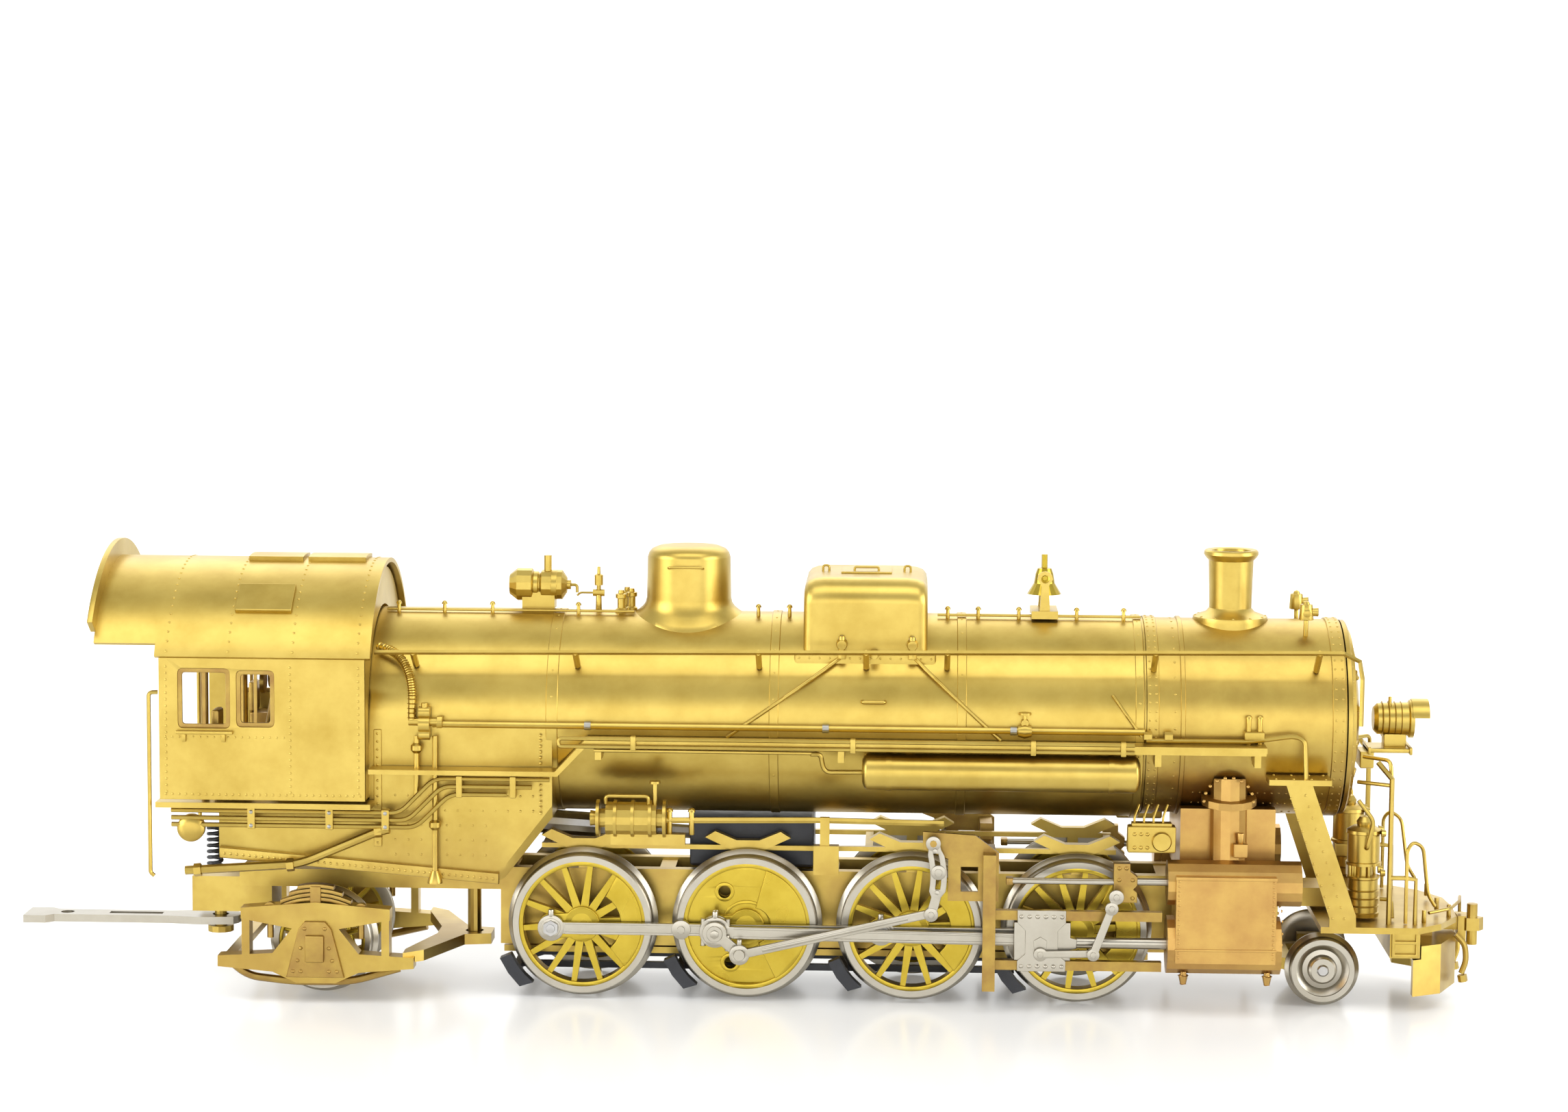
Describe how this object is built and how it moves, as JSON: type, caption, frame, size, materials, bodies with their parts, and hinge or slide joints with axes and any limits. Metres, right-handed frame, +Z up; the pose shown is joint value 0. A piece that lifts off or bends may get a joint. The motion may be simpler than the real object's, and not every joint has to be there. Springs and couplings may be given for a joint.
{
  "type": "model steam locomotive",
  "caption": "Scale model steam locomotive in lacquered brass with spoked drivers, working rods and valve gear, two swivelling trucks, cab, domes, stack and drawbar.",
  "frame": {"origin": "on the rail line below the main driving axle, at the middle of the length", "axes": "+X is the way the locomotive faces, +Y is the left side, +Z is up"},
  "size_m": [0.1898, 0.0348, 0.0577],
  "materials": {
    "brass": "lacquered satin brass",
    "bright_brass": "bright cast brass",
    "stained_brass": "brass darkened by heat and flux",
    "nickel": "plated nickel silver",
    "steel": "machined steel",
    "black_plastic": "moulded black plastic",
    "ballast": "dull grey ballast",
    "lens": "clear moulded lens"
  },
  "bodies": {
    "body": {"main_frame": "brass", "keeper_plate": "brass", "spring_rigging": "brass", "cylinder_saddle": "brass", "power_reverse": "brass", "firebox": "brass", "boiler_barrel": "brass", "smokebox": "brass", "smokebox_front": "brass", "steam_dome": "brass", "sand_dome": "brass", "smokestack": "brass", "generator": "brass", "bell_bracket": "brass", "headlight": "brass", "cab_shell": "brass", "cab_roof": "brass", "cab_floor": "brass", "air_tanks": "brass", "running_board_R": "brass", "running_board_L": "brass", "handrail_R": "brass", "handrail_L": "brass", "pilot_deck": "brass", "air_pumps": "brass", "pilot": "brass", "front_coupler": "brass", "guide_yoke": "stained_brass", "brake_rigging": "black_plastic", "motor_case": "black_plastic", "gearbox": "black_plastic", "boiler_weight": "ballast"},
    "main_drivers": {"drive_wheelset_2": "nickel", "axle_gear": "bright_brass", "return_crank_R": "nickel", "return_crank_L": "nickel"},
    "driver_1": {"drive_wheelset_1": "nickel"},
    "driver_3": {"drive_wheelset_3": "nickel"},
    "driver_4": {"drive_wheelset_4": "nickel"},
    "worm": {"worm_shaft": "steel"},
    "pilot_truck": {"pilot_truck_frame": "brass"},
    "pilot_wheels": {"pilot_wheelset": "nickel"},
    "trailing_truck": {"trailing_truck_frame": "brass"},
    "trailing_wheels": {"trailing_wheelset": "nickel"},
    "drawbar": {"drawbar": "nickel"},
    "bell": {"bell": "bright_brass"},
    "side_rod_R": {"side_rod_R": "nickel"},
    "main_rod_R": {"main_rod_R": "nickel"},
    "eccentric_rod_R": {"eccentric_rod_R": "nickel"},
    "gear_link_R": {"gear_link_R": "nickel"},
    "crosshead_R": {"crosshead_R": "nickel"},
    "valve_stem_R": {"valve_stem_R": "nickel"},
    "combination_lever_R": {"combination_lever_R": "nickel"},
    "side_rod_L": {"side_rod_L": "nickel"},
    "main_rod_L": {"main_rod_L": "nickel"},
    "eccentric_rod_L": {"eccentric_rod_L": "nickel"},
    "gear_link_L": {"gear_link_L": "nickel"},
    "crosshead_L": {"crosshead_L": "nickel"},
    "valve_stem_L": {"valve_stem_L": "nickel"},
    "combination_lever_L": {"combination_lever_L": "nickel"}
  },
  "joints": [
    {"name": "main_axle_spin", "type": "hinge", "parent": "body", "child": "main_drivers", "pos_m": [0, 0, 0.00965], "axis": [0, 1, 0], "continuous": true},
    {"name": "driver_1_spin", "type": "hinge", "parent": "body", "child": "driver_1", "pos_m": [-0.02105, 0, 0.00965], "axis": [0, 1, 0], "continuous": true},
    {"name": "driver_3_spin", "type": "hinge", "parent": "body", "child": "driver_3", "pos_m": [0.02105, 0, 0.00965], "axis": [0, 1, 0], "continuous": true},
    {"name": "driver_4_spin", "type": "hinge", "parent": "body", "child": "driver_4", "pos_m": [0.0421, 0, 0.00965], "axis": [0, 1, 0], "continuous": true},
    {"name": "worm_spin", "type": "hinge", "parent": "body", "child": "worm", "pos_m": [0, 0, 0.01955], "axis": [0.9981, 0, -0.061], "continuous": true},
    {"name": "side_rod_R_pin", "type": "hinge", "parent": "main_drivers", "child": "side_rod_R", "pos_m": [-0.00389, -0.0105, 0.00931], "axis": [0, 1, 0], "continuous": true},
    {"name": "main_rod_R_pin", "type": "hinge", "parent": "main_drivers", "child": "main_rod_R", "pos_m": [-0.00389, -0.01195, 0.00931], "axis": [0, 1, 0], "continuous": true},
    {"name": "eccentric_rod_R_pin", "type": "hinge", "parent": "main_drivers", "child": "eccentric_rod_R", "pos_m": [-0.00071, -0.01375, 0.00681], "axis": [0, 1, 0], "continuous": true},
    {"name": "crosshead_R_slide", "type": "slide", "parent": "body", "child": "crosshead_R", "axis": [1, 0, 0], "range_m": [0, 0.0078]},
    {"name": "valve_stem_R_slide", "type": "slide", "parent": "body", "child": "valve_stem_R", "axis": [1, 0, 0], "range_m": [0, 0.000946]},
    {"name": "combination_lever_R_swing", "type": "hinge", "parent": "valve_stem_R", "child": "combination_lever_R", "pos_m": [0.0467, -0.0158, 0.0153], "axis": [0, 1, 0], "range_deg": [-52, 0]},
    {"name": "gear_link_R_swing", "type": "hinge", "parent": "body", "child": "gear_link_R", "pos_m": [0.0237, -0.0146, 0.0216], "axis": [0, 1, 0], "range_deg": [-18, 18]},
    {"name": "side_rod_L_pin", "type": "hinge", "parent": "main_drivers", "child": "side_rod_L", "pos_m": [0.00034, 0.0105, 0.00576], "axis": [0, 1, 0], "continuous": true},
    {"name": "main_rod_L_pin", "type": "hinge", "parent": "main_drivers", "child": "main_rod_L", "pos_m": [0.00034, 0.01195, 0.00576], "axis": [0, 1, 0], "continuous": true},
    {"name": "eccentric_rod_L_pin", "type": "hinge", "parent": "main_drivers", "child": "eccentric_rod_L", "pos_m": [0.00284, 0.01375, 0.00894], "axis": [0, 1, 0], "continuous": true},
    {"name": "crosshead_L_slide", "type": "slide", "parent": "body", "child": "crosshead_L", "axis": [1, 0, 0], "range_m": [-0.0042, 0.0036]},
    {"name": "valve_stem_L_slide", "type": "slide", "parent": "body", "child": "valve_stem_L", "axis": [1, 0, 0], "range_m": [-0.000514, 0.000442]},
    {"name": "combination_lever_L_swing", "type": "hinge", "parent": "valve_stem_L", "child": "combination_lever_L", "pos_m": [0.0467, 0.0158, 0.0153], "axis": [0, 1, 0], "range_deg": [-24, 28]},
    {"name": "gear_link_L_swing", "type": "hinge", "parent": "body", "child": "gear_link_L", "pos_m": [0.0237, 0.0146, 0.0216], "axis": [0, 1, 0], "range_deg": [0, 36]},
    {"name": "pilot_truck_swivel", "type": "hinge", "parent": "body", "child": "pilot_truck", "pos_m": [0.06, 0, 0.00475], "axis": [0, 0, 1], "range_deg": [-4, 4]},
    {"name": "pilot_wheel_spin", "type": "hinge", "parent": "pilot_truck", "child": "pilot_wheels", "pos_m": [0.0735, 0, 0.00475], "axis": [0, 1, 0], "continuous": true},
    {"name": "trailing_truck_swivel", "type": "hinge", "parent": "body", "child": "trailing_truck", "pos_m": [-0.036, 0, 0.006], "axis": [0, 0, 1], "range_deg": [-4, 4]},
    {"name": "trailing_wheel_spin", "type": "hinge", "parent": "trailing_truck", "child": "trailing_wheels", "pos_m": [-0.0545, 0, 0.007], "axis": [0, 1, 0], "continuous": true},
    {"name": "drawbar_swing", "type": "hinge", "parent": "body", "child": "drawbar", "pos_m": [-0.0694, 0, 0.0078], "axis": [0, 0, 1], "range_deg": [-15, 15]},
    {"name": "bell_swing", "type": "hinge", "parent": "body", "child": "bell", "pos_m": [0.0377, 0, 0.0539], "axis": [0, 1, 0], "range_deg": [-30, 30]}
  ],
  "couplings": [
    {"joint": "driver_1_spin", "follows": "main_axle_spin", "ratio": 1},
    {"joint": "driver_3_spin", "follows": "main_axle_spin", "ratio": 1},
    {"joint": "driver_4_spin", "follows": "main_axle_spin", "ratio": 1},
    {"joint": "worm_spin", "follows": "main_axle_spin", "ratio": 20},
    {"joint": "side_rod_R_pin", "follows": "main_axle_spin", "ratio": -1},
    {"joint": "main_rod_R_pin", "follows": "main_axle_spin", "ratio": -1},
    {"joint": "eccentric_rod_R_pin", "follows": "main_axle_spin", "ratio": -1},
    {"joint": "valve_stem_R_slide", "follows": "crosshead_R_slide", "ratio": 0.12},
    {"joint": "combination_lever_R_swing", "follows": "crosshead_R_slide", "rad_per_m": -116},
    {"joint": "side_rod_L_pin", "follows": "main_axle_spin", "ratio": -1},
    {"joint": "main_rod_L_pin", "follows": "main_axle_spin", "ratio": -1},
    {"joint": "eccentric_rod_L_pin", "follows": "main_axle_spin", "ratio": -1},
    {"joint": "valve_stem_L_slide", "follows": "crosshead_L_slide", "ratio": 0.12},
    {"joint": "combination_lever_L_swing", "follows": "crosshead_L_slide", "rad_per_m": -116}
  ]
}
